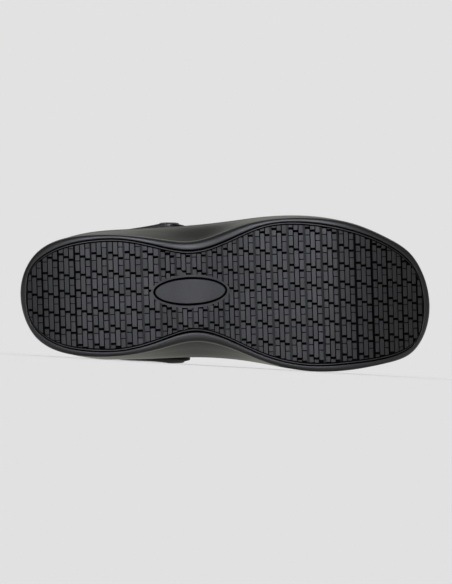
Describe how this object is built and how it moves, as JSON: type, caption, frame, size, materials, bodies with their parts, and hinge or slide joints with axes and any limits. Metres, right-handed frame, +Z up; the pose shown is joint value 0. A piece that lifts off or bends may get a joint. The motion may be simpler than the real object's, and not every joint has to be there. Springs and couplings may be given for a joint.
{
  "type": "slingback clog",
  "caption": "Black moulded slingback work clog, right shoe, lying on its medial side, with a closed toe, a riveted heel strap and a slip-resistant lugged tread.",
  "frame": {"origin": "middle of the shoe's box on the floor it lies on, under its medial side", "axes": "+X from heel to toe, +Y from the tread towards the collar, +Z up from the medial side to the lateral side"},
  "size_m": [0.2902, 0.108, 0.1096],
  "materials": {
    "moulded_foam": "satin, fine moulded grain",
    "strap_foam": "satin",
    "tread_rubber": "matte",
    "insole_foam": "matte",
    "rivet_plastic": "satin"
  },
  "bodies": {
    "root": {"upper": "moulded_foam", "outsole": "tread_rubber", "insole": "insole_foam", "heel_strap": "strap_foam", "rivet_medial": "rivet_plastic", "rivet_lateral": "rivet_plastic", "rivet_cap_medial": "rivet_plastic", "rivet_cap_lateral": "rivet_plastic"}
  },
  "joints": []
}
